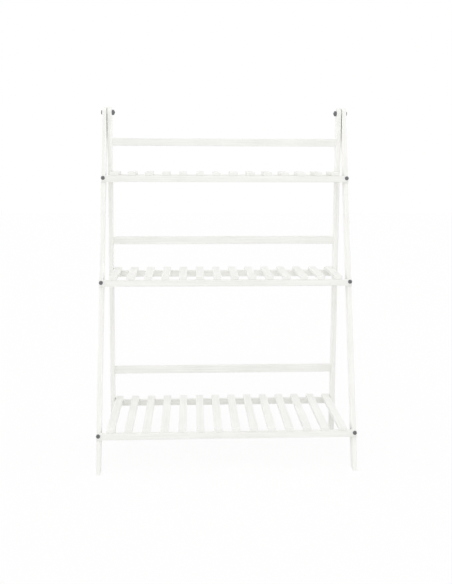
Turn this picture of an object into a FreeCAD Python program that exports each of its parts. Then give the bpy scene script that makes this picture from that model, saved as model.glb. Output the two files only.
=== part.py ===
import FreeCAD, Part
import math
import os

import Sketcher

# Three-tier ladder shelf. Two front legs and two rear legs meet at a pivot bolt at the top of each side.
# Each slatted shelf is bolted across the front legs and rests in notches at the back of the rear legs.
# Frame: X to the right, Y to the back, Z up; origin on the floor in the middle of the footprint. Millimetres.

SIZES = [
    ("overall_width", 700, "over the outer faces of the front legs"),
    ("leg_thickness", 12, "leg across the shelf"),
    ("leg_depth", 32, "leg from front to back, square to its length"),
    ("pivot_height", 966, "pivot axis above the floor"),
    ("front_lean", 12.5, "front leg from upright, degrees"),
    ("rear_lean", 2.75, "rear leg from upright, degrees"),
    ("pivot_gap", 1.8, "between a front leg and a rear leg"),
    ("edge_chamfer", 1.2, "bevelled edges of the legs, bars, rails and slats"),
    ("rail_thickness", 10, "rail from front to back"),
    ("rail_height", 18, "rail from bottom to top"),
    ("bottom_rail_level", 97.5, "middle of the bottom shelf's rails above the floor"),
    ("middle_rail_level", 493.5, "middle of the middle shelf's rails above the floor"),
    ("top_rail_drop", 187.5, "middle of the top shelf's rails below the pivot"),
    ("front_housing", 1, "front rail let into the leg, at the rail's top edge"),
    ("rear_notch", 5, "rear rail let into the leg, at the rail's top edge"),
    ("notch_clearance", 0.3, "rear rail to the notch's seat and ledge"),
    ("notch_headroom", 2, "notch above the rear rail, for the swing"),
    ("slat_width", 22, "slat from side to side"),
    ("slat_thickness", 10, "slat from bottom to top"),
    ("slat_count", 14, "slats in each shelf"),
    ("slat_side_gap", 1.2, "outer slat to the rear leg"),
    ("bar_height", 22, "back bar from bottom to top"),
    ("bar_thickness", 12, "back bar from front to back"),
    ("bar_housing", 4, "back bar let into each rear leg"),
    ("bottom_bar_rise", 107.5, "middle of the bottom back bar above the middle of its shelf's rails"),
    ("middle_bar_rise", 102, "middle of the middle back bar above the middle of its shelf's rails"),
    ("top_bar_rise", 103.5, "middle of the top back bar above the middle of its shelf's rails"),
    ("pivot_diameter", 8, "pivot bolt shank"),
    ("pivot_head_diameter", 13, "pivot bolt head"),
    ("pivot_head_height", 4.5, "pivot bolt head"),
    ("pivot_nut_width", 13, "pivot nut across its flats"),
    ("pivot_nut_height", 6.5, "pivot nut along the bolt"),
    ("pivot_end", 2, "pivot bolt past its nut"),
    ("washer_diameter", 18, "pivot washer"),
    ("washer_thickness", 1.6, "pivot washer"),
    ("running_clearance", 0.05, "radial, shanks in their holes"),
    ("seat_clearance", 0.1, "head and nut to the legs that turn"),
    ("rail_bolt_rise", 2.5, "rail bolt above the middle of the rail"),
    ("rail_bolt_diameter", 6, "rail bolt shank"),
    ("rail_bolt_head_diameter", 11, "rail bolt head"),
    ("rail_bolt_head_height", 3, "rail bolt head"),
    ("rail_bolt_end", 3, "rail bolt past the barrel nut's axis"),
    ("head_bevel", 1.5, "bevel round the bolt heads"),
    ("socket_radius", 2.3, "hexagon socket in the rail bolts, to its corners"),
    ("socket_depth", 1.6, "hexagon socket in the rail bolts"),
    ("barrel_diameter", 10, "barrel nut"),
    ("barrel_length", 11, "barrel nut, from the leg's inner face"),
    ("barrel_setback", 15, "barrel nut's axis behind the rail"),
]

SHELVES = ("top", "middle", "bottom")
SIDES = (("left", -1), ("right", 1))
X_AXIS = FreeCAD.Vector(1, 0, 0)
Y_AXIS = FreeCAD.Vector(0, 1, 0)
Z_AXIS = FreeCAD.Vector(0, 0, 1)
QUARTER_TURN = 90
HEXAGON = 6
PARALLEL = 0.999  # cosine from which two directions count as one

doc = FreeCAD.newDocument("ladder_shelf")
sheet = doc.addObject("Spreadsheet::Sheet", "Sizes")
for row, (alias, value, note) in enumerate(SIZES, start=1):
    sheet.set(f"A{row}", alias)
    sheet.set(f"B{row}", str(value))
    sheet.set(f"C{row}", note)
    sheet.setAlias(f"B{row}", alias)
doc.recompute()

# Places that several pieces share, as expressions on the sheet.
FRONT_TAN = "tan(Sizes.front_lean * 1 deg)"
FRONT_COS = "cos(Sizes.front_lean * 1 deg)"
REAR_TAN = "tan(Sizes.rear_lean * 1 deg)"
REAR_COS = "cos(Sizes.rear_lean * 1 deg)"
FRONT_TOE = f"(Sizes.pivot_height * {FRONT_TAN} + Sizes.leg_depth / 2 / {FRONT_COS})"
REAR_HEEL = f"(Sizes.pivot_height * {REAR_TAN} + Sizes.leg_depth / 2 / {REAR_COS})"
FOOTPRINT = f"({FRONT_TOE} + {REAR_HEEL})"
PIVOT_Y = f"(({FRONT_TOE} - {REAR_HEEL}) / 2)"
HALF_WIDTH = "(Sizes.overall_width / 2)"
FRONT_LEG_INNER = f"({HALF_WIDTH} - Sizes.leg_thickness)"
REAR_LEG_OUTER = f"({FRONT_LEG_INNER} - Sizes.pivot_gap)"
REAR_LEG_INNER = f"({REAR_LEG_OUTER} - Sizes.leg_thickness)"
FRONT_LEG_MIDDLE = f"({HALF_WIDTH} - Sizes.leg_thickness / 2)"
SLAT_FIELD = f"(2 * ({REAR_LEG_INNER} - Sizes.slat_side_gap))"
SLAT_PITCH = f"(({SLAT_FIELD} - Sizes.slat_width) / (Sizes.slat_count - 1))"


def rail_level(shelf):
    """Height of the middle of a shelf's rails. The top shelf hangs from the pivot."""
    if shelf == "top":
        return "(Sizes.pivot_height - Sizes.top_rail_drop)"
    return f"Sizes.{shelf}_rail_level"


def rail_foot(shelf):
    """Height of a shelf's rails at their bottom edge."""
    return f"({rail_level(shelf)} - Sizes.rail_height / 2)"


def rail_top(shelf):
    """Height of a shelf's rails at their top edge, where the slats lie."""
    return f"({rail_level(shelf)} + Sizes.rail_height / 2)"


def bolt_level(shelf):
    """Height of the bolts that hold a shelf's front rail."""
    return f"({rail_level(shelf)} + Sizes.rail_bolt_rise)"


def bar_drop(shelf):
    """Drop from the pivot to the middle of a back bar."""
    return f"(Sizes.pivot_height - {rail_level(shelf)} - Sizes.{shelf}_bar_rise)"


def front_rail_back(shelf):
    """Y of the front rail's back face, let into the leg's sloping front face."""
    drop = f"(Sizes.pivot_height - {rail_top(shelf)})"
    face = f"({PIVOT_Y} - {drop} * {FRONT_TAN} - Sizes.leg_depth / 2 / {FRONT_COS})"
    return f"({face} + Sizes.front_housing)"


def front_rail_front(shelf):
    """Y of the front rail's front face."""
    return f"({front_rail_back(shelf)} - Sizes.rail_thickness)"


def rear_rail_front(shelf):
    """Y of the rear rail's front face, let into the leg's sloping back face."""
    drop = f"(Sizes.pivot_height - {rail_top(shelf)})"
    face = f"({PIVOT_Y} + {drop} * {REAR_TAN} + Sizes.leg_depth / 2 / {REAR_COS})"
    return f"({face} - Sizes.rear_notch)"


def place(obj, x, y, z, axis=(1, 0, 0), angle="0"):
    """Binds an object's place and its turn about one axis to expressions."""
    turn = f"rotation(vector({axis[0]}; {axis[1]}; {axis[2]}); ({angle}) * 1 deg)"
    obj.setExpression("Placement", f"placement(vector({x}; {y}; {z}); {turn})")
    return obj


def bind(obj, **sizes):
    """Binds properties of an object to expressions on the sheet."""
    for name, expression in sizes.items():
        obj.setExpression(name, expression)
    return obj


def box(name, length, width, height, x, y, z):
    """A block with its lowest corner at x, y, z."""
    block = bind(doc.addObject("Part::Box", name), Length=length, Width=width, Height=height)
    return place(block, x, y, z)


def rod(name, radius, length, x, y, z, axis=(1, 0, 0), angle="0"):
    """A cylinder from x, y, z along Z, turned about one axis."""
    cylinder = bind(doc.addObject("Part::Cylinder", name), Radius=radius, Height=length)
    return place(cylinder, x, y, z, axis, angle)


def along_x(name, radius, length, x, y, z):
    """A cylinder that runs along +X from x, y, z."""
    return rod(name, radius, length, x, y, z, (0, 1, 0), QUARTER_TURN)


def along_y(name, radius, length, x, y, z):
    """A cylinder that runs along +Y from x, y, z."""
    return rod(name, radius, length, x, y, z, (1, 0, 0), -QUARTER_TURN)


def hexagon(name, radius, height):
    """A six-sided prism, given by the radius to its corners."""
    prism = bind(doc.addObject("Part::Prism", name), Circumradius=radius, Height=height)
    prism.Polygon = HEXAGON
    return prism


def fused(name, pieces):
    """Several solids joined into one."""
    joined = doc.addObject("Part::MultiFuse", name)
    joined.Shapes = pieces
    return joined


def cut(name, base, tools):
    """A solid less several tools."""
    result = doc.addObject("Part::Cut", name)
    result.Base = base
    result.Tool = tools[0] if len(tools) == 1 else fused(name + "_tools", tools)
    return result


def group(name, pieces):
    """Separate solids of one kind, kept in one node."""
    together = doc.addObject("Part::Compound", name)
    together.Links = pieces
    return together


def edges_along(shape, direction):
    """Numbers of the straight edges of a shape that run along a direction."""
    numbers = []
    for number, edge in enumerate(shape.Edges, start=1):
        if not isinstance(edge.Curve, Part.Line):
            continue
        if abs(edge.tangentAt(edge.FirstParameter).dot(direction)) > PARALLEL:
            numbers.append(number)
    return numbers


def outer_rim(shape, outward):
    """Number of the round edge of a disc that lies furthest along a direction."""
    rims = []
    for number, edge in enumerate(shape.Edges, start=1):
        if isinstance(edge.Curve, Part.Circle):
            rims.append((edge.Curve.Center.dot(outward), number))
    return max(rims)[1]


def bevelled(name, base, edge_numbers, size):
    """A solid with some of its edges bevelled."""
    result = doc.addObject("Part::Chamfer", name)
    result.Base = base
    result.Edges = [(number, size, size) for number in edge_numbers]
    return result


def board(name, block, direction):
    """A block with its four long edges bevelled."""
    doc.recompute()
    return bevelled(name, block, edges_along(block.Shape, direction), float(sheet.edge_chamfer))


def bolt_head(name, disc, outward):
    """A disc with its outer rim bevelled."""
    doc.recompute()
    return bevelled(name, disc, [outer_rim(disc.Shape, outward)], float(sheet.head_bevel))


def origin_plane(body, role):
    """One of a body's own origin planes."""
    return next(feature for feature in body.Origin.OriginFeatures if feature.Role == role)


def side_sketch(body, name):
    """A sketch on a body's side plane: its X is the body's Y, and its Y the body's Z."""
    sketch = body.newObject("Sketcher::SketchObject", name)
    sketch.AttachmentSupport = [(origin_plane(body, "YZ_Plane"), "")]
    sketch.MapMode = "FlatFace"
    return sketch


def constrain(sketch, name, expression, *details):
    """Adds a named constraint and binds its value to an expression."""
    index = sketch.addConstraint(Sketcher.Constraint(*details))
    sketch.renameConstraint(index, name)
    sketch.setExpression(f"Constraints.{name}", expression)


def padded(body, sketch, name, length):
    """Pads a side sketch along the body's X."""
    pad = body.newObject("PartDesign::Pad", name)
    pad.Profile = sketch
    pad.setExpression("Length", length)
    doc.recompute()
    return pad


def trimmed(body, pad, name, edge_numbers):
    """Bevels edges of a pad."""
    chamfer = body.newObject("PartDesign::Chamfer", name)
    chamfer.Base = (pad, [f"Edge{number}" for number in edge_numbers])
    chamfer.setExpression("Size", "Sizes.edge_chamfer")
    body.Tip = chamfer
    doc.recompute()


def leg_blank(name, left_face, lean, lean_cos):
    """A leg before it is cut: round at the top about the pivot, and longer than its drop to the floor."""
    body = doc.addObject("PartDesign::Body", name)
    sketch = side_sketch(body, name + "_outline")
    radius = float(sheet.leg_depth) / 2
    length = float(sheet.pivot_height) + float(sheet.leg_depth)
    corners = [(radius, 0), (radius, -length), (-radius, -length), (-radius, 0)]
    points = [FreeCAD.Vector(x, y, 0) for x, y in corners]
    top = Part.ArcOfCircle(Part.Circle(FreeCAD.Vector(), Z_AXIS, radius), 0, math.pi)
    sides = [Part.LineSegment(start, end) for start, end in zip(points, points[1:])]
    sketch.addGeometry([top] + sides, False)
    sketch.addConstraint([
        Sketcher.Constraint("Coincident", 0, 3, -1, 1),
        Sketcher.Constraint("Tangent", 0, 1, 1, 1),
        Sketcher.Constraint("Coincident", 1, 2, 2, 1),
        Sketcher.Constraint("Coincident", 2, 2, 3, 1),
        Sketcher.Constraint("Tangent", 0, 2, 3, 2),
        Sketcher.Constraint("Vertical", 1),
        Sketcher.Constraint("Vertical", 3),
        Sketcher.Constraint("Horizontal", 2),
    ])
    constrain(sketch, "top_radius", "Sizes.leg_depth / 2", "Radius", 0, radius)
    to_floor = f"Sizes.pivot_height / {lean_cos}"
    constrain(sketch, "side_length", f"{to_floor} + Sizes.leg_depth", "Distance", 1, length)
    pad = padded(body, sketch, name + "_board", "Sizes.leg_thickness")
    crosswise = edges_along(pad.Shape, X_AXIS)
    outline = [number for number in range(1, len(pad.Shape.Edges) + 1) if number not in crosswise]
    trimmed(body, pad, name + "_edges", outline)
    return place(body, left_face, PIVOT_Y, "Sizes.pivot_height", angle=lean)


def back_bar(shelf):
    """A bar between the rear legs, square to them and let into both."""
    body = doc.addObject("PartDesign::Body", f"back_bar_{shelf}")
    sketch = side_sketch(body, f"back_bar_{shelf}_section")
    along_leg = f"{bar_drop(shelf)} / {REAR_COS} + Sizes.bar_height / 2"
    thick = float(sheet.bar_thickness)
    high = float(sheet.bar_height)
    bottom = -float(sheet.evalExpression(along_leg))
    front = -thick / 2
    corners = [
        (front, bottom),
        (front + thick, bottom),
        (front + thick, bottom + high),
        (front, bottom + high),
    ]
    points = [FreeCAD.Vector(x, y, 0) for x, y in corners]
    ring = list(zip(points, points[1:] + points[:1]))
    sketch.addGeometry([Part.LineSegment(start, end) for start, end in ring], False)
    for side in range(len(ring)):
        following = (side + 1) % len(ring)
        sketch.addConstraint(Sketcher.Constraint("Coincident", side, 2, following, 1))
    sketch.addConstraint([
        Sketcher.Constraint("Vertical", 1),
        Sketcher.Constraint("Horizontal", 2),
        Sketcher.Constraint("Vertical", 3),
        Sketcher.Constraint("Symmetric", 0, 1, 0, 2, -2),
    ])
    constrain(sketch, "thickness", "Sizes.bar_thickness", "Distance", 0, thick)
    constrain(sketch, "height", "Sizes.bar_height", "Distance", 1, high)
    constrain(sketch, "drop", along_leg, "DistanceY", 0, 2, -1, 1, -bottom)
    reach = f"({REAR_LEG_INNER} + Sizes.bar_housing)"
    pad = padded(body, sketch, f"back_bar_{shelf}_length", f"2 * {reach}")
    trimmed(body, pad, f"back_bar_{shelf}_edges", edges_along(pad.Shape, X_AXIS))
    return place(body, f"-{reach}", PIVOT_Y, "Sizes.pivot_height", angle="Sizes.rear_lean")


def rail_bolt(name, sign, shelf):
    """A bolt with a hexagon socket, from the front through the rail into the leg."""
    x = f"({sign} * {FRONT_LEG_MIDDLE})"
    face = front_rail_front(shelf)
    level = bolt_level(shelf)
    head_front = f"({face} - Sizes.rail_bolt_head_height)"
    head_radius = "Sizes.rail_bolt_head_diameter / 2"
    disc = along_y(name + "_disc", head_radius, "Sizes.rail_bolt_head_height", x, head_front, level)
    head = bolt_head(name + "_head", disc, -Y_AXIS)
    reach = "(Sizes.rail_thickness + Sizes.barrel_setback + Sizes.rail_bolt_end)"
    shank = along_y(name + "_shank", "Sizes.rail_bolt_diameter / 2", reach, x, face, level)
    socket = hexagon(name + "_socket", "Sizes.socket_radius", "Sizes.socket_depth")
    place(socket, x, head_front, level, (1, 0, 0), -QUARTER_TURN)
    return cut(name, fused(name + "_body", [head, shank]), [socket])


def rail_bolt_hole(name, sign, shelf, past_axis="0"):
    """The clearance hole that a rail bolt runs in, through the rail and on to the barrel nut's axis."""
    x = f"({sign} * {FRONT_LEG_MIDDLE})"
    start = f"({front_rail_front(shelf)} - Sizes.rail_thickness)"
    reach = f"(2 * Sizes.rail_thickness + Sizes.barrel_setback + {past_axis})"
    radius = "Sizes.rail_bolt_diameter / 2 + Sizes.running_clearance"
    return along_y(name, radius, reach, x, start, bolt_level(shelf))


def crosswise_rod(name, sign, shelf, radius, length):
    """A rod into the front leg from its inner face, across the rail bolt."""
    x = FRONT_LEG_INNER if sign > 0 else f"(-{FRONT_LEG_INNER} - {length})"
    y = f"({front_rail_back(shelf)} + Sizes.barrel_setback)"
    return along_x(name, radius, length, x, y, bolt_level(shelf))


def barrel_nut(name, sign, shelf):
    """A barrel nut across the leg, with the bolt's hole through it."""
    barrel = crosswise_rod(name + "_barrel", sign, shelf, "Sizes.barrel_diameter / 2", "Sizes.barrel_length")
    return cut(name, barrel, [rail_bolt_hole(name + "_hole", sign, shelf, "Sizes.barrel_diameter")])


def barrel_hole(name, sign, shelf):
    """The blind hole for a barrel nut."""
    radius = "Sizes.barrel_diameter / 2 + Sizes.running_clearance"
    depth = "(Sizes.barrel_length + Sizes.running_clearance)"
    return crosswise_rod(name, sign, shelf, radius, depth)


def rear_notch(name, shelf):
    """The notch in the back of the rear legs that carries a rear rail."""
    seat = f"({rear_rail_front(shelf)} - Sizes.notch_clearance)"
    ledge = f"({rail_foot(shelf)} - Sizes.notch_clearance)"
    height = "(Sizes.rail_height + Sizes.notch_clearance + Sizes.notch_headroom)"
    return box(name, "Sizes.overall_width", "Sizes.leg_depth", height, f"-{HALF_WIDTH}", seat, ledge)


# What cuts the legs: the floor, the pivot's hole, and each shelf's rails, bolts and nuts.
floor_block = "(2 * Sizes.leg_depth)"
floor = box("below_floor", "Sizes.overall_width", f"2 * {FOOTPRINT}", floor_block,
            f"-{HALF_WIDTH}", f"-{FOOTPRINT}", f"-{floor_block}")
pivot_bore = "Sizes.pivot_diameter / 2 + Sizes.running_clearance"
pivot_hole = along_x("pivot_hole", pivot_bore, "Sizes.overall_width", f"-{HALF_WIDTH}", PIVOT_Y,
                     "Sizes.pivot_height")

nodes = []
front_blocks = {}
bars = {}
notches = {}
for shelf in SHELVES:
    front_y = front_rail_front(shelf)
    front_blocks[shelf] = box(f"front_block_{shelf}", "Sizes.overall_width", "Sizes.rail_thickness",
                              "Sizes.rail_height", f"-{HALF_WIDTH}", front_y, rail_foot(shelf))
    front_board = board(f"front_board_{shelf}", front_blocks[shelf], X_AXIS)
    holes = [rail_bolt_hole(f"front_rail_hole_{shelf}_{side}", sign, shelf) for side, sign in SIDES]
    nodes.append(cut(f"front_rail_{shelf}", front_board, holes))

    rear_y = rear_rail_front(shelf)
    rear_block = box(f"rear_block_{shelf}", f"2 * {REAR_LEG_OUTER}", "Sizes.rail_thickness",
                     "Sizes.rail_height", f"-{REAR_LEG_OUTER}", rear_y, rail_foot(shelf))
    nodes.append(board(f"rear_rail_{shelf}", rear_block, X_AXIS))
    notches[shelf] = rear_notch(f"rear_notch_{shelf}", shelf)

    bars[shelf] = back_bar(shelf)
    nodes.append(bars[shelf])

    depth = f"({rear_y} + Sizes.rail_thickness - {front_y})"
    for index in range(int(sheet.slat_count)):
        name = f"{shelf}_slat_{index + 1:02d}"
        x = f"({index} * {SLAT_PITCH} - {SLAT_FIELD} / 2)"
        block = box(name + "_block", "Sizes.slat_width", depth, "Sizes.slat_thickness",
                    x, front_y, rail_top(shelf))
        nodes.append(board(name, block, Y_AXIS))

rail_bolts = []
barrel_nuts = []
pivot_bolts = []
pivot_nuts = []
pivot_washers = []
for side, sign in SIDES:
    front_face = FRONT_LEG_INNER if sign > 0 else f"-{HALF_WIDTH}"
    blank = leg_blank(f"front_blank_{side}", front_face, "-Sizes.front_lean", FRONT_COS)
    tools = [floor, pivot_hole]
    for shelf in SHELVES:
        tools.append(front_blocks[shelf])
        tools.append(rail_bolt_hole(f"front_leg_hole_{shelf}_{side}", sign, shelf))
        tools.append(barrel_hole(f"front_leg_barrel_{shelf}_{side}", sign, shelf))
        rail_bolts.append(rail_bolt(f"rail_bolt_{shelf}_{side}", sign, shelf))
        barrel_nuts.append(barrel_nut(f"barrel_nut_{shelf}_{side}", sign, shelf))
    nodes.append(cut(f"front_leg_{side}", blank, tools))

    rear_face = REAR_LEG_INNER if sign > 0 else f"-{REAR_LEG_OUTER}"
    blank = leg_blank(f"rear_blank_{side}", rear_face, "Sizes.rear_lean", REAR_COS)
    tools = [floor, pivot_hole] + list(notches.values()) + list(bars.values())
    nodes.append(cut(f"rear_leg_{side}", blank, tools))

    # The pivot bolt's own Z runs inwards from the outer face of the front leg.
    turn = -QUARTER_TURN if sign > 0 else QUARTER_TURN
    inward = (0, 1, 0)
    pivot_at = (PIVOT_Y, "Sizes.pivot_height", inward, turn)
    head_end = f"({sign} * ({HALF_WIDTH} + Sizes.pivot_head_height))"
    disc = rod(f"pivot_disc_{side}", "Sizes.pivot_head_diameter / 2", "Sizes.pivot_head_height",
               head_end, *pivot_at)
    head = bolt_head(f"pivot_head_{side}", disc, X_AXIS * sign)
    nut_reach = "(Sizes.seat_clearance + Sizes.pivot_nut_height + Sizes.pivot_end)"
    grip = f"({HALF_WIDTH} - {REAR_LEG_INNER} + {nut_reach})"
    outer_face = f"({sign} * {HALF_WIDTH})"
    shank = rod(f"pivot_shank_{side}", "Sizes.pivot_diameter / 2", grip, outer_face, *pivot_at)
    pivot_bolts.append(fused(f"pivot_bolt_{side}", [head, shank]))

    nut_face = f"({sign} * ({REAR_LEG_INNER} - Sizes.seat_clearance))"
    blank = hexagon(f"pivot_hexagon_{side}", "Sizes.pivot_nut_width / sqrt(3)", "Sizes.pivot_nut_height")
    place(blank, nut_face, *pivot_at)
    pivot_nuts.append(cut(f"pivot_nut_{side}", blank, [pivot_hole]))

    washer_face = f"({sign} * ({FRONT_LEG_INNER} - (Sizes.pivot_gap - Sizes.washer_thickness) / 2))"
    disc = rod(f"washer_disc_{side}", "Sizes.washer_diameter / 2", "Sizes.washer_thickness",
               washer_face, *pivot_at)
    pivot_washers.append(cut(f"pivot_washer_{side}", disc, [pivot_hole]))

nodes.append(group("rail_bolts", rail_bolts))
nodes.append(group("barrel_nuts", barrel_nuts))
nodes.append(group("pivot_bolts", pivot_bolts))
nodes.append(group("pivot_nuts", pivot_nuts))
nodes.append(group("pivot_washers", pivot_washers))
doc.recompute()

for obj in doc.Objects:
    if "Invalid" in obj.State or "Error" in obj.State:
        raise RuntimeError(f"{obj.Label} failed: {obj.State}")
for node in nodes:
    if node.Shape.isNull() or not node.Shape.isValid():
        raise RuntimeError(f"{node.Label} has no valid shape")

os.makedirs("parts", exist_ok=True)
for node in nodes:
    node.Shape.exportStep(f"parts/{node.Label}.step")
print(len(nodes), "nodes")
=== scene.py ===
"""Looks of the folding ladder shelf: painted boards, grey bolts, a pale studio and the photograph's view."""

import logging
import math
from dataclasses import dataclass, replace
from enum import Enum
from typing import Any

import bpy
import numpy as np
from mathutils import Matrix, Vector


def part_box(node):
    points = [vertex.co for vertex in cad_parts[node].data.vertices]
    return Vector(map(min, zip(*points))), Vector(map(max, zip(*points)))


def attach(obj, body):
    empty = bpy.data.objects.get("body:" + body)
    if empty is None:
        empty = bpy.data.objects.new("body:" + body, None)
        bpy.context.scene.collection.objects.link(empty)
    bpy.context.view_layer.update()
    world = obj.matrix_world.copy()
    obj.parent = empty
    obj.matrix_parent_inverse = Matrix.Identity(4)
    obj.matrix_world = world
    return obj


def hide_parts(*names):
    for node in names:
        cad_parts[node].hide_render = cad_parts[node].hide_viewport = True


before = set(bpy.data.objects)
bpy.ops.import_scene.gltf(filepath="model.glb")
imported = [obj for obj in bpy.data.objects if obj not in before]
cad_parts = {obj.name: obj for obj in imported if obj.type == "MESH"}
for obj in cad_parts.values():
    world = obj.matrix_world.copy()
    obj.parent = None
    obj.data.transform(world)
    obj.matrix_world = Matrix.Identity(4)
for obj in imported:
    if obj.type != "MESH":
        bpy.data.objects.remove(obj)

log = logging.getLogger("ladder_shelf")

MM = 0.001
QUARTER = math.pi / 2
FULL_TURN = 2 * math.pi
SHARP_EDGE = math.radians(38)
WHITE = "#FFFFFF"
IMAGE_HEIGHT = 584
SENSOR_MM = 36.0

# Unit vectors of the shared frame, as seen from the front.
RIGHT = np.array([1.0, 0.0, 0.0])
BACK = np.array([0.0, 1.0, 0.0])
UP = np.array([0.0, 0.0, 1.0])


class Body(Enum):
    """The two bodies that pieces ride on."""

    FRONT = "front_frame"
    REAR = "rear_frame"


class Slot(Enum):
    """Material slots of the record."""

    WHITE_PAINT = "white_paint"
    BLACK_STEEL = "black_steel"
    ZINC_STEEL = "zinc_steel"


class Axis(Enum):
    """Axes of the shared frame."""

    X = 0
    Y = 1
    Z = 2


class Tier(Enum):
    """Shelves from the top down."""

    TOP = "top"
    MIDDLE = "middle"
    BOTTOM = "bottom"


class Side(Enum):
    """Sides of the shelf, by the sign of X."""

    LEFT = -1
    RIGHT = 1


def linear(colour: str) -> tuple[float, float, float, float]:
    """Turns a written colour into the values that shaders take, by the sRGB curve.

    Args:
        colour: sRGB as "#RRGGBB".

    Returns:
        Linear red, green, blue and an alpha of one.
    """
    srgb = np.array([int(colour[i:i + 2], 16) for i in (1, 3, 5)]) / 255
    values = np.where(srgb <= 0.04045, srgb / 12.92, ((srgb + 0.055) / 1.055) ** 2.4)
    return (*values.tolist(), 1.0)


def add_node(tree: bpy.types.NodeTree, kind: str, inputs: dict[Any, Any] | None = None,
             **settings: Any) -> bpy.types.Node:
    """Adds a shader node, sets it and wires it.

    Args:
        tree: The material's or world's node tree.
        kind: Blender's name of the node type.
        inputs: Socket name or number to a plain value, or to an output socket to link from.
        settings: Properties of the node.

    Returns:
        The new node.
    """
    node = tree.nodes.new(kind)
    for name, value in settings.items():
        setattr(node, name, value)
    for name, value in (inputs or {}).items():
        if isinstance(value, bpy.types.NodeSocket):
            tree.links.new(value, node.inputs[name])
        else:
            node.inputs[name].default_value = value
    return node


def blank_material(name: str) -> tuple[bpy.types.Material, bpy.types.NodeTree]:
    """Makes a material with an empty node tree.

    Args:
        name: The material's name.

    Returns:
        The material and its node tree.
    """
    material = bpy.data.materials.new(name)
    material.use_nodes = True
    material.node_tree.nodes.clear()
    return material, material.node_tree


@dataclass(frozen=True)
class PaintedWood:
    """Satin white lacquer sprayed on planed softwood, which lets a faint grain show through."""

    name: str = "satin_white_lacquer"
    thick: str = "#FCFCFA"
    thin: str = "#F2F2EE"
    across_mm: float = 2.5
    along_mm: float = 140.0
    fibre_detail: float = 3.0
    cloud_mm: float = 70.0
    cloud_detail: float = 2.0
    cloud_share: float = 0.3
    noise_span: tuple[float, float] = (0.34, 0.66)
    smooth: float = 0.40
    rough: float = 0.54
    grain_relief_mm: float = 0.08
    grain_strength: float = 0.4
    peel_mm: float = 1.6
    peel_detail: float = 1.0
    peel_relief_mm: float = 0.012
    peel_strength: float = 0.5

    def material(self, grain: Axis, lean: float = 0.0) -> bpy.types.Material:
        """Builds the lacquer for boards that run along one axis.

        Args:
            grain: The axis that the boards run along.
            lean: Turn of the boards about X, in degrees.

        Returns:
            The material.
        """
        material, tree = blank_material(f"{self.name}_{grain.name.lower()}_{abs(lean):g}")
        place = add_node(tree, "ShaderNodeTexCoord").outputs["Object"]
        spacing = [self.across_mm * MM] * 3
        spacing[grain.value] = self.along_mm * MM
        streaks = add_node(tree, "ShaderNodeMapping", {
            "Vector": place, "Rotation": (math.radians(lean), 0.0, 0.0), "Scale": spacing,
        }, vector_type="TEXTURE")
        # Fine streaks along the board, where the lacquer sinks a little between the growth rings.
        fibre = add_node(tree, "ShaderNodeTexNoise", {
            "Vector": streaks.outputs["Vector"], "Scale": 1.0, "Detail": self.fibre_detail}).outputs["Fac"]
        # Wide clouds, where the spray lies thicker and shines more.
        cloud = add_node(tree, "ShaderNodeTexNoise", {
            "Vector": place, "Scale": 1 / (self.cloud_mm * MM), "Detail": self.cloud_detail}).outputs["Fac"]
        # The pebbled skin of a sprayed coat, drawn a little coarser than it is so that it shows close up.
        peel = add_node(tree, "ShaderNodeTexNoise", {
            "Vector": place, "Scale": 1 / (self.peel_mm * MM), "Detail": self.peel_detail}).outputs["Fac"]
        coat = add_node(tree, "ShaderNodeMix", {"Factor": self.cloud_share, "A": fibre, "B": cloud})
        # Noise keeps near its middle, so its usual span is stretched over the step between the two whites.
        low, high = self.noise_span
        cover = add_node(tree, "ShaderNodeMapRange", {
            "Value": coat.outputs["Result"], "From Min": low, "From Max": high})
        # A thin coat looks a little greyer and warmer, because the wood shows through.
        tone = add_node(tree, "ShaderNodeMix", {
            "Factor": cover.outputs["Result"], "A": linear(self.thin), "B": linear(self.thick),
        }, data_type="RGBA")
        # Satin highlights that soften and sharpen slowly along a board.
        sheen = add_node(tree, "ShaderNodeMapRange", {
            "Value": cloud, "To Min": self.rough, "To Max": self.smooth})
        # The grain can just be felt, and the pebbled skin lies on it.
        relief = add_node(tree, "ShaderNodeBump", {
            "Height": fibre, "Strength": self.grain_strength, "Distance": self.grain_relief_mm * MM})
        skin = add_node(tree, "ShaderNodeBump", {
            "Height": peel, "Strength": self.peel_strength, "Distance": self.peel_relief_mm * MM,
            "Normal": relief.outputs["Normal"]})
        shader = add_node(tree, "ShaderNodeBsdfPrincipled", {
            "Base Color": tone.outputs["Result"], "Roughness": sheen.outputs["Result"],
            "Normal": skin.outputs["Normal"]})
        add_node(tree, "ShaderNodeOutputMaterial", {"Surface": shader.outputs["BSDF"]})
        return material


@dataclass(frozen=True)
class Steel:
    """Plated or phosphated steel with a slightly uneven sheen."""

    name: str
    bright: str
    dull: str
    mottle_mm: float
    smooth: float
    rough: float
    mottle_detail: float = 2.0

    def material(self) -> bpy.types.Material:
        """Builds the metal.

        Returns:
            The material.
        """
        material, tree = blank_material(self.name)
        place = add_node(tree, "ShaderNodeTexCoord").outputs["Object"]
        # Cloudy patches a few millimetres wide, as a bath leaves them on steel.
        cloud = add_node(tree, "ShaderNodeTexNoise", {
            "Vector": place, "Scale": 1 / (self.mottle_mm * MM), "Detail": self.mottle_detail}).outputs["Fac"]
        tone = add_node(tree, "ShaderNodeMix", {
            "Factor": cloud, "A": linear(self.dull), "B": linear(self.bright)}, data_type="RGBA")
        # The lighter patches are the rougher ones, so they gleam less.
        sheen = add_node(tree, "ShaderNodeMapRange", {
            "Value": cloud, "To Min": self.smooth, "To Max": self.rough})
        shader = add_node(tree, "ShaderNodeBsdfPrincipled", {
            "Base Color": tone.outputs["Result"], "Metallic": 1.0, "Roughness": sheen.outputs["Result"]})
        add_node(tree, "ShaderNodeOutputMaterial", {"Surface": shader.outputs["BSDF"]})
        return material


LACQUER = PaintedWood()
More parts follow.
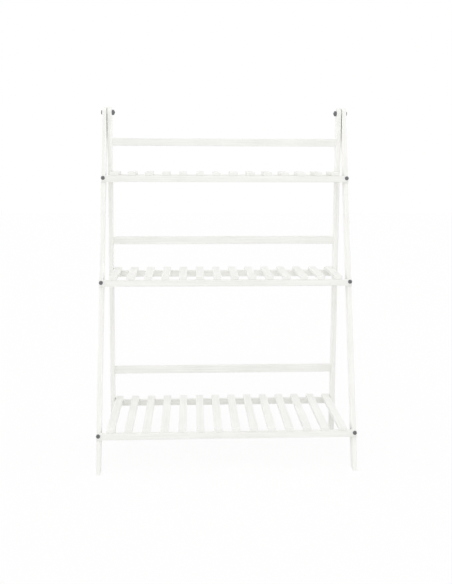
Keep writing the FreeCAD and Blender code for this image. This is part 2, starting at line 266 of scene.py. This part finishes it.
# A dark grey that still gleams, so that the heads stand out on the white boards without looking like holes.
PHOSPHATE = Steel(
    "phosphated_steel", bright="#8A8B8D", dull="#6A6B6D", mottle_mm=2.0, smooth=0.36, rough=0.52)
# A pale, bluish and brighter metal for what sits inside the wood.
ZINC_PLATE = Steel(
    "zinc_plated_steel", bright="#C3C6CA", dull="#A4A8AD", mottle_mm=1.5, smooth=0.28, rough=0.42)


@dataclass
class Surface:
    """A closed shape in millimetres.

    Faces are kept as Blender keeps them: the point numbers of all faces in one row, and the count of each.
    Normals, where there are any, belong to the points.
    """

    points: np.ndarray
    corners: np.ndarray
    counts: np.ndarray
    normals: np.ndarray | None = None

    def turned(self, degrees: float) -> "Surface":
        """Turns the shape about an X axis through the middle of its box.

        Args:
            degrees: The turn.

        Returns:
            The turned shape.
        """
        turn = np.array(Matrix.Rotation(math.radians(degrees), 3, "X")).T
        middle = (self.points.min(axis=0) + self.points.max(axis=0)) / 2
        normals = None if self.normals is None else self.normals @ turn
        return replace(self, points=(self.points - middle) @ turn + middle, normals=normals)

    def mesh(self, name: str) -> bpy.types.Mesh:
        """Makes a Blender mesh of the shape, smooth by its normals or else up to sharp edges.

        Args:
            name: The mesh's name.

        Returns:
            The mesh.
        """
        mesh = bpy.data.meshes.new(name)
        mesh.vertices.add(len(self.points))
        mesh.vertices.foreach_set("co", (self.points * MM).ravel())
        mesh.loops.add(len(self.corners))
        mesh.loops.foreach_set("vertex_index", self.corners)
        mesh.polygons.add(len(self.counts))
        mesh.polygons.foreach_set("loop_start", np.cumsum(self.counts) - self.counts)
        mesh.update(calc_edges=True)
        mesh.shade_smooth()
        if self.normals is None:
            mesh.set_sharp_from_angle(angle=SHARP_EDGE)
        else:
            mesh.normals_split_custom_set(self.normals[self.corners].tolist())
        return mesh


def joined(shapes: list[Surface]) -> Surface:
    """Puts several shapes without normals of their own into one.

    Args:
        shapes: The shapes.

    Returns:
        One shape with all their points and faces.
    """
    starts = np.cumsum([0] + [len(shape.points) for shape in shapes])
    return Surface(
        np.concatenate([shape.points for shape in shapes]),
        np.concatenate([shape.corners + start for shape, start in zip(shapes, starts)]),
        np.concatenate([shape.counts for shape in shapes]))


def wall_faces(rows: int, columns: int, ring: bool = False) -> tuple[np.ndarray, np.ndarray]:
    """Faces of a tube whose points lie row by row, each row once round the tube.

    They look outwards where the rows follow an axis and the points of a row go anticlockwise about it.

    Args:
        rows: Rows along the tube.
        columns: Points in a row.
        ring: Whether the last row joins the first. Otherwise both ends are capped.

    Returns:
        The point numbers of all faces in one row, and the count of each face.
    """
    row, column = np.meshgrid(np.arange(rows if ring else rows - 1), np.arange(columns), indexing="ij")
    after = (row + 1) % rows
    beside = (column + 1) % columns
    walls = np.stack([
        row * columns + column, row * columns + beside,
        after * columns + beside, after * columns + column], axis=-1)
    counts = np.full(row.size, walls.shape[-1])
    if ring:
        return walls.ravel(), counts
    first = np.arange(columns)
    last = first + (rows - 1) * columns
    return np.concatenate([walls.ravel(), first[::-1], last]), np.append(counts, [columns, columns])


def rounded_board(low: np.ndarray, high: np.ndarray, run: Axis, radius: float, steps: int = 4,
                  least_corner: float = 0.1) -> Surface:
    """A board with rounded edges: a smaller box grown by a ball.

    The angle p takes a quarter turn round the edges of one end and then of the other. There the section
    stands radius * (1 - |cos p|) inside the end, and its corners have the radius * sin p. The angle t goes
    once round the section. The normal is (-cos p, sin p cos t, sin p sin t).

    Args:
        low: Lowest corner of the board's box.
        high: Highest corner.
        run: The axis that the board runs along.
        radius: Radius of its edges.
        steps: Points round a quarter turn.
        least_corner: Radius that keeps the corners of the ends from closing up.

    Returns:
        The board.
    """
    order = np.roll(np.arange(3), -run.value)
    half = (high - low)[order] / 2
    bend = np.linspace(0, QUARTER, steps)
    inset = radius * (1 - np.cos(bend))
    along = np.concatenate([inset - half[0], half[0] - inset[::-1]])[:, None]
    p = np.concatenate([bend, np.pi - bend[::-1]])[:, None]
    quarters = np.arange(4)[:, None] * QUARTER
    t = (quarters + bend).ravel()
    diagonal = np.repeat(quarters + QUARTER / 2, steps)
    swell = np.maximum(radius * np.sin(p), least_corner)
    points = np.stack(np.broadcast_arrays(
        along,
        np.sign(np.cos(diagonal)) * (half[1] - radius) + swell * np.cos(t),
        np.sign(np.sin(diagonal)) * (half[2] - radius) + swell * np.sin(t)), axis=-1).reshape(-1, 3)
    normals = np.stack(np.broadcast_arrays(
        -np.cos(p), np.sin(p) * np.cos(t), np.sin(p) * np.sin(t)), axis=-1).reshape(-1, 3)
    xyz = np.argsort(order)
    return Surface(points[:, xyz] + (low + high) / 2, *wall_faces(p.size, t.size), normals[:, xyz])


def hexagon(t: np.ndarray, flats: float) -> np.ndarray:
    """Distance from a hexagon's middle to its edge: half its width over the cosine of the angle off a flat.

    Args:
        t: Angles about the middle.
        flats: Width across flats.

    Returns:
        The distances.
    """
    sixth = FULL_TURN / 6
    return flats / 2 / np.cos((t + sixth / 2) % sixth - sixth / 2)


def slot_outline(t: np.ndarray, length: float, width: float) -> np.ndarray:
    """Distance from the middle of a slot to its edge: the nearer of its side and its end.

    Args:
        t: Angles about the middle.
        length: Slot from end to end.
        width: Slot from side to side.

    Returns:
        The distances.
    """
    tiny = 1e-9
    return np.minimum(width / 2 / np.maximum(np.abs(np.sin(t)), tiny),
                      length / 2 / np.maximum(np.abs(np.cos(t)), tiny))


def turn_angles(columns: int) -> np.ndarray:
    """Even angles once round, from nought."""
    return np.linspace(0, FULL_TURN, columns, endpoint=False)


def circles(t: np.ndarray, *radii: float) -> np.ndarray:
    """Rows of one radius each, the same at all angles t."""
    return np.outer(radii, np.ones_like(t))


def lathed(radii: np.ndarray, heights: np.ndarray, t: np.ndarray, origin: np.ndarray, axis: np.ndarray,
           start: np.ndarray, ring: bool = False) -> Surface:
    """A turned shape: at each height along the axis, points at the radius r(t) for the angles t.

    Args:
        radii: For each height a row with the radius at each angle.
        heights: Heights of the rows.
        t: Angles of the points in a row.
        origin: The point at height nought.
        axis: Unit vector along the axis.
        start: Unit vector square to the axis, where t is nought.
        ring: Whether the last row joins the first.

    Returns:
        The shape.
    """
    across = np.cross(axis, start)
    around = np.cos(t)[:, None] * start + np.sin(t)[:, None] * across
    points = origin + heights[:, None, None] * axis + radii[..., None] * around
    return Surface(points.reshape(-1, 3), *wall_faces(heights.size, t.size, ring))


def add_piece(name: str, shape: Surface, material: bpy.types.Material, body: Body, slot: Slot,
              *nodes: str) -> None:
    """Puts a shape into the scene in place of CAD nodes.

    Args:
        name: The piece's name.
        shape: Its surface.
        material: What it is made of.
        body: The body that it moves with.
        slot: The record's slot for its material. Not used.
        nodes: The nodes that it stands for.
    """
    mesh = shape.mesh(name)
    mesh.materials.append(material)
    piece = bpy.data.objects.new(name, mesh)
    bpy.context.scene.collection.objects.link(piece)
    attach(piece, body.value)
    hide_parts(*nodes)
    log.info("%s: %d faces, %s, rides on %s", name, len(shape.counts), material.name, body.value)


def dress(node: str, material: bpy.types.Material) -> None:
    """Gives a CAD node one material all over.

    Args:
        node: The node's name.
        material: What it is made of.
    """
    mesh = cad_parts[node].data
    mesh.materials.clear()
    mesh.materials.append(material)
    log.info("%s wears %s", node, material.name)


def node_box(node: str) -> tuple[np.ndarray, np.ndarray]:
    """Lowest and highest corner of a CAD node, in millimetres."""
    low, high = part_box(node)
    return np.array(low) / MM, np.array(high) / MM


def solid_box(node: str, side: Side, tier: Tier | None = None) -> tuple[np.ndarray, np.ndarray]:
    """Box of one solid of a node that holds several alike.

    Args:
        node: The node's name.
        side: The side that the solid is on.
        tier: The shelf that it is at, if there is one at each.

    Returns:
        Lowest and highest corner, in millimetres.
    """
    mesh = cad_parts[node].data
    points = np.empty(len(mesh.vertices) * 3)
    mesh.vertices.foreach_get("co", points)
    points = points.reshape(-1, 3) / MM
    chosen = points[:, 0] * side.value > 0
    if tier is not None:
        low, high = node_box(f"front_rail_{tier.value}")
        chosen &= (points[:, 2] > low[2]) & (points[:, 2] < high[2])
    return points[chosen].min(axis=0), points[chosen].max(axis=0)


@dataclass
class Shelf:
    """One shelf: a front and a rear rail with slats across them."""

    tier: Tier
    rail_paint: bpy.types.Material
    slat_paint: bpy.types.Material
    slats: int = 14
    edge_radius: float = 1.6

    def board(self, node: str, run: Axis, paint: bpy.types.Material) -> None:
        """Makes a rounded board that fills a node's box.

        Args:
            node: The node's name.
            run: The axis that it runs along.
            paint: Its finish.
        """
        low, high = node_box(node)
        shape = rounded_board(low, high, run, self.edge_radius)
        add_piece(f"{node}_board", shape, paint, Body.FRONT, Slot.WHITE_PAINT, node)

    def build(self) -> None:
        """Makes the rails and the slats."""
        for place in ("front", "rear"):
            self.board(f"{place}_rail_{self.tier.value}", Axis.X, self.rail_paint)
        for number in range(1, self.slats + 1):
            self.board(f"{self.tier.value}_slat_{number:02d}", Axis.Y, self.slat_paint)


@dataclass
class FrontLegs:
    """The two legs that carry the shelves, leaning back."""

    finish: PaintedWood
    lean: float = 12.5

    def build(self) -> None:
        """Paints the legs, with the grain along them."""
        paint = self.finish.material(Axis.Z, -self.lean)
        for side in Side:
            dress(f"front_leg_{side.name.lower()}", paint)


@dataclass
class RearFrame:
    """The swinging frame: two legs leaning forward and three bars between them."""

    finish: PaintedWood
    bar_paint: bpy.types.Material
    lean: float = 2.75
    bar_thickness: float = 12.0
    bar_height: float = 22.0
    edge_radius: float = 1.6

    def bar(self, tier: Tier) -> None:
        """Makes a back bar, square to the legs.

        Args:
            tier: The shelf that it stands behind.
        """
        node = f"back_bar_{tier.value}"
        low, high = node_box(node)
        middle = (low + high) / 2
        half = np.array([high[0] - low[0], self.bar_thickness, self.bar_height]) / 2
        shape = rounded_board(middle - half, middle + half, Axis.X, self.edge_radius).turned(self.lean)
        add_piece(f"{node}_board", shape, self.bar_paint, Body.REAR, Slot.WHITE_PAINT, node)

    def build(self) -> None:
        """Paints the legs and makes the bars."""
        paint = self.finish.material(Axis.Z, self.lean)
        for side in Side:
            dress(f"rear_leg_{side.name.lower()}", paint)
        for tier in Tier:
            self.bar(tier)


@dataclass
class Bolt:
    """A button head bolt with a hexagon socket. Heights run outwards from the seat of the head.

    The thread's share is its depth in pitches. The rim's and the side's are of the head's radius and height,
    and the mouth's flare and the point's share are of the socket's width.
    """

    shank: float
    head: float
    head_height: float
    socket_flats: float
    socket_depth: float
    reach: float
    thread: float
    pitch: float
    thread_share: float = 0.54
    thread_steps: int = 8
    end_length: float = 1.0
    end_taper: float = 0.5
    rim_share: float = 0.62
    side_share: float = 0.25
    crown_steps: int = 8
    mouth_flare: float = 1.12
    mouth_depth: float = 0.2
    point_share: float = 0.4
    point_depth: float = 0.4
    columns: int = 48

    def surface(self, seat: np.ndarray, outwards: np.ndarray) -> Surface:
        """Turns the bolt.

        The thread's radius goes from root to crest and back over one pitch: it is
        shank / 2 - depth * |2 (s mod 1) - 1|, with s = height / pitch - t / 2 pi. The head's crown is a
        quarter of an ellipse, from its side to its rim. The socket flares at its mouth and ends in a drill
        point.

        Args:
            seat: Middle of the face that the head sits on.
            outwards: Unit vector out of that face, level with the floor.

        Returns:
            The bolt.
        """
        t = turn_angles(self.columns)
        crest = self.shank / 2
        depth = self.thread_share * self.pitch
        threaded = np.arange(self.end_length, self.thread, self.pitch / self.thread_steps) - self.reach
        s = threaded[:, None] / self.pitch - t / FULL_TURN
        edge = self.head / 2
        rim = edge * self.rim_share
        side = self.head_height * self.side_share
        q = np.linspace(0, QUARTER, self.crown_steps)
        floor = self.head_height - self.socket_depth
        radii = np.vstack([
            circles(t, crest - depth - self.end_taper),
            crest - depth * np.abs(2 * (s % 1) - 1),
            circles(t, crest, crest, edge),
            circles(t, *(rim + (edge - rim) * np.cos(q))),
            np.outer([self.mouth_flare, 1, 1, self.point_share], hexagon(t, self.socket_flats))])
        heights = np.concatenate([
            [-self.reach], threaded, [self.thread - self.reach, 0, 0],
            side + (self.head_height - side) * np.sin(q),
            [self.head_height, self.head_height - self.mouth_depth, floor, floor - self.point_depth]])
        return lathed(radii, heights, t, seat, outwards, UP)


@dataclass
class RailBolts:
    """The bolts that hold the front rails, and the barrel nuts in the legs that they screw into."""

    bolt_metal: bpy.types.Material
    nut_metal: bpy.types.Material
    head_height: float = 3.0
    shank: float = 6.0
    socket_flats: float = 4.0
    socket_depth: float = 1.6
    thread: float = 10.0
    pitch: float = 1.0
    nut_bevel: float = 0.5
    nut_slot_length: float = 7.0
    nut_slot_width: float = 1.4
    nut_slot_depth: float = 1.2
    nut_columns: int = 96

    def bolt(self, side: Side, tier: Tier) -> Surface:
        """Makes one bolt in its place.

        Args:
            side: The leg that it goes into.
            tier: The shelf that it holds.

        Returns:
            The bolt.
        """
        low, high = solid_box("rail_bolts", side, tier)
        seat = (low + high) / 2
        seat[1] = low[1] + self.head_height
        bolt = Bolt(self.shank, high[0] - low[0], self.head_height, self.socket_flats, self.socket_depth,
                    high[1] - seat[1], self.thread, self.pitch)
        return bolt.surface(seat, -BACK)

    def nut(self, side: Side, tier: Tier) -> Surface:
        """Makes one barrel nut, with the slot that a screwdriver holds it by.

        Args:
            side: The leg that it is in.
            tier: The shelf whose bolt it takes.

        Returns:
            The nut.
        """
        low, high = solid_box("barrel_nuts", side, tier)
        radius = (high[2] - low[2]) / 2
        end = radius - self.nut_bevel
        length = high[0] - low[0]
        inwards = -side.value * RIGHT
        t = turn_angles(self.nut_columns)
        slot = slot_outline(t, self.nut_slot_length, self.nut_slot_width)
        radii = np.vstack([circles(t, end, radius, radius, end), slot, slot])
        heights = np.array([
            0.0, self.nut_bevel, length - self.nut_bevel, length, length, length - self.nut_slot_depth])
        return lathed(radii, heights, t, (low + high) / 2 - inwards * length / 2, inwards, BACK)

    def build(self) -> None:
        """Makes all bolts and nuts."""
        places = [(side, tier) for side in Side for tier in Tier]
        bolts = joined([self.bolt(side, tier) for side, tier in places])
        add_piece("rail_bolts_turned", bolts, self.bolt_metal, Body.FRONT, Slot.BLACK_STEEL, "rail_bolts")
        nuts = joined([self.nut(side, tier) for side, tier in places])
        add_piece("barrel_nuts_turned", nuts, self.nut_metal, Body.FRONT, Slot.ZINC_STEEL, "barrel_nuts")


@dataclass
class Pivots:
    """The bolts that the rear frame swings on, with their nuts and washers."""

    bolt_metal: bpy.types.Material
    washer_metal: bpy.types.Material
    head_height: float = 4.5
    shank: float = 8.0
    socket_flats: float = 5.0
    socket_depth: float = 2.6
    thread: float = 12.0
    pitch: float = 1.25
    nut_face_share: float = 0.97
    nut_cone_rise: float = 0.58
    nut_cone_steps: int = 6
    nut_bore_play: float = 0.05
    nut_bore_bevel: float = 0.6
    nut_columns: int = 48

    def bolt(self, side: Side) -> Surface:
        """Makes one pivot bolt, head outside.

        Args:
            side: The side that it is on.

        Returns:
            The bolt.
        """
        low, high = solid_box("pivot_bolts", side)
        outwards = side.value * RIGHT
        length = high[0] - low[0]
        seat = (low + high) / 2 + outwards * (length / 2 - self.head_height)
        bolt = Bolt(self.shank, high[1] - low[1], self.head_height, self.socket_flats, self.socket_depth,
                    length - self.head_height, self.thread, self.pitch)
        return bolt.surface(seat, outwards)

    def nut(self, side: Side) -> Surface:
        """Makes one nut: a hexagon limited by a cone at each end, r = min(hexagon(t), cone(height)).

        Args:
            side: The side that it is on.

        Returns:
            The nut.
        """
        low, high = solid_box("pivot_nuts", side)
        flats = high[1] - low[1]
        height = high[0] - low[0]
        inwards = -side.value * RIGHT
        t = turn_angles(self.nut_columns)
        outline = hexagon(t, flats)
        face = flats / 2 * self.nut_face_share
        rise = np.linspace(0, (outline.max() - face) * self.nut_cone_rise, self.nut_cone_steps)
        outside = np.concatenate([rise, height - rise[::-1]])
        cone = face + np.minimum(outside, height - outside) / self.nut_cone_rise
        bore = self.shank / 2 + self.nut_bore_play
        mouth = bore + self.nut_bore_bevel
        radii = np.vstack([np.minimum(outline, cone[:, None]), circles(t, mouth, bore, bore, mouth)])
        heights = np.concatenate([outside, [height, height - self.nut_bore_bevel, self.nut_bore_bevel, 0.0]])
        return lathed(radii, heights, t, (low + high) / 2 - inwards * height / 2, inwards, BACK, ring=True)

    def build(self) -> None:
        """Makes the bolts and nuts, and dresses the washers."""
        bolts = joined([self.bolt(side) for side in Side])
        add_piece("pivot_bolts_turned", bolts, self.bolt_metal, Body.FRONT, Slot.BLACK_STEEL, "pivot_bolts")
        nuts = joined([self.nut(side) for side in Side])
        add_piece("pivot_nuts_turned", nuts, self.bolt_metal, Body.FRONT, Slot.BLACK_STEEL, "pivot_nuts")
        dress("pivot_washers", self.washer_metal)


@dataclass(frozen=True)
class Lamp:
    """A broad, far lamp, given by its height and its turn from the front to the right, in degrees."""

    name: str
    strength: float
    height: float
    turn: float
    width: float = 40.0

    def hang(self) -> None:
        """Adds the lamp to the scene."""
        data = bpy.data.lights.new(self.name, "SUN")
        data.energy = self.strength
        data.angle = math.radians(self.width)
        lamp = bpy.data.objects.new(self.name, data)
        lamp.rotation_euler = (QUARTER - math.radians(self.height), 0.0, math.radians(self.turn))
        bpy.context.scene.collection.objects.link(lamp)


@dataclass
class Studio:
    """A pale floor, a white room, one lamp in front and two low ones at the sides, and the camera.

    Angles are in degrees, the camera's place in millimetres, its focal length and principal row in pixels.
    """

    floor_width_m: float = 16.0
    floor_tone: str = "#FDFDFC"
    bounce_tone: str = "#F0F0EE"
    shadow_share: float = 0.12
    seen_strength: float = 1.0
    wall_strength: float = 0.96
    ceiling_strength: float = 0.64
    lamps: tuple[Lamp, ...] = (
        Lamp("softbox", 0.52, height=60.0, turn=-15.0),
        Lamp("left_fill", 0.55, height=12.0, turn=-85.0),
        Lamp("right_fill", 0.55, height=12.0, turn=85.0))
    camera_place: tuple[float, float, float] = (-100.1, -2085.1, 861.0)
    camera_yaw: float = -2.749
    camera_pitch: float = -3.856
    camera_roll: float = 0.213
    focal_px: float = 748.2
    principal_row: float = 200.0

    def seen_directly(self, tree: bpy.types.NodeTree) -> bpy.types.NodeSocket:
        """One for rays from the eye, from a mirror or through glass, and nought for light on the object.

        Args:
            tree: The tree to add nodes to.

        Returns:
            The value's socket.
        """
        rays = add_node(tree, "ShaderNodeLightPath").outputs
        seen = rays["Is Camera Ray"]
        for name in ("Is Glossy Ray", "Is Transmission Ray"):
            seen = add_node(tree, "ShaderNodeMath", {0: seen, 1: rays[name]}, operation="MAXIMUM").outputs[0]
        return seen

    def floor(self) -> None:
        """Lays a floor that looks white but for a share of its shadows, and bounces a little less light."""
        material, tree = blank_material("pale_paper_floor")
        seen = self.seen_directly(tree)
        share = add_node(tree, "ShaderNodeMath", {0: seen, 1: 1 - self.shadow_share}, operation="MULTIPLY")
        tone = add_node(tree, "ShaderNodeMix", {
            "Factor": seen, "A": linear(self.bounce_tone), "B": linear(self.floor_tone)}, data_type="RGBA")
        paper = add_node(tree, "ShaderNodeBsdfDiffuse", {"Color": tone.outputs["Result"]})
        glow = add_node(tree, "ShaderNodeEmission", {"Color": linear(WHITE), "Strength": self.seen_strength})
        mixed = add_node(tree, "ShaderNodeMixShader", {
            0: share.outputs[0], 1: paper.outputs[0], 2: glow.outputs[0]})
        add_node(tree, "ShaderNodeOutputMaterial", {"Surface": mixed.outputs[0]})
        edge = self.floor_width_m / 2
        corners = [(-edge, -edge, 0), (edge, -edge, 0), (edge, edge, 0), (-edge, edge, 0)]
        mesh = bpy.data.meshes.new("floor")
        mesh.from_pydata(corners, [], [(0, 1, 2, 3)])
        mesh.materials.append(material)
        floor = bpy.data.objects.new("floor", mesh)
        bpy.context.scene.collection.objects.link(floor)

    def room(self) -> None:
        """Sets a room light, brighter at the walls than at the ceiling, that looks white where it is seen."""
        world = bpy.data.worlds.new("white_room")
        world.use_nodes = True
        tree = world.node_tree
        tree.nodes.clear()
        direction = add_node(tree, "ShaderNodeTexCoord").outputs["Generated"]
        upwards = add_node(tree, "ShaderNodeSeparateXYZ", {"Vector": direction}).outputs["Z"]
        light = add_node(tree, "ShaderNodeMapRange", {
            "Value": upwards, "To Min": self.wall_strength, "To Max": self.ceiling_strength})
        strength = add_node(tree, "ShaderNodeMapRange", {
            "Value": self.seen_directly(tree), "To Min": light.outputs["Result"],
            "To Max": self.seen_strength})
        room = add_node(tree, "ShaderNodeBackground", {
            "Color": linear(WHITE), "Strength": strength.outputs["Result"]})
        add_node(tree, "ShaderNodeOutputWorld", {"Surface": room.outputs[0]})
        bpy.context.scene.world = world

    def camera(self) -> None:
        """Sets the camera at the photograph's viewing angle.

        The place, turn and focal length come from a fit of bolts, bars, feet and slat ends to the photograph.
        """
        data = bpy.data.cameras.new("camera")
        data.sensor_width = SENSOR_MM
        data.lens = self.focal_px * SENSOR_MM / IMAGE_HEIGHT
        data.shift_y = (self.principal_row - IMAGE_HEIGHT / 2) / IMAGE_HEIGHT
        camera = bpy.data.objects.new("camera", data)
        yaw, pitch, roll = np.radians([self.camera_yaw, self.camera_pitch, self.camera_roll])
        turn = (Matrix.Rotation(yaw, 4, "Z") @ Matrix.Rotation(QUARTER + pitch, 4, "X")
                @ Matrix.Rotation(roll, 4, "Z"))
        camera.matrix_world = Matrix.Translation(Vector(self.camera_place) * MM) @ turn
        bpy.context.scene.collection.objects.link(camera)
        bpy.context.scene.camera = camera

    def build(self) -> None:
        """Sets up the floor, the light and the camera."""
        self.floor()
        self.room()
        for lamp in self.lamps:
            lamp.hang()
        self.camera()
        bpy.context.scene.view_settings.view_transform = "Standard"


def main() -> None:
    """Dresses the shelf and sets it in the studio."""
    logging.basicConfig(level=logging.INFO, format="%(name)s: %(message)s")
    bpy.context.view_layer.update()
    crosswise = LACQUER.material(Axis.X)
    lengthwise = LACQUER.material(Axis.Y)
    grey_steel = PHOSPHATE.material()
    zinc = ZINC_PLATE.material()
    FrontLegs(LACQUER).build()
    RearFrame(LACQUER, crosswise).build()
    for tier in Tier:
        Shelf(tier, crosswise, lengthwise).build()
    RailBolts(grey_steel, zinc).build()
    Pivots(grey_steel, zinc).build()
    Studio().build()


if __name__ == "__main__":
    main()
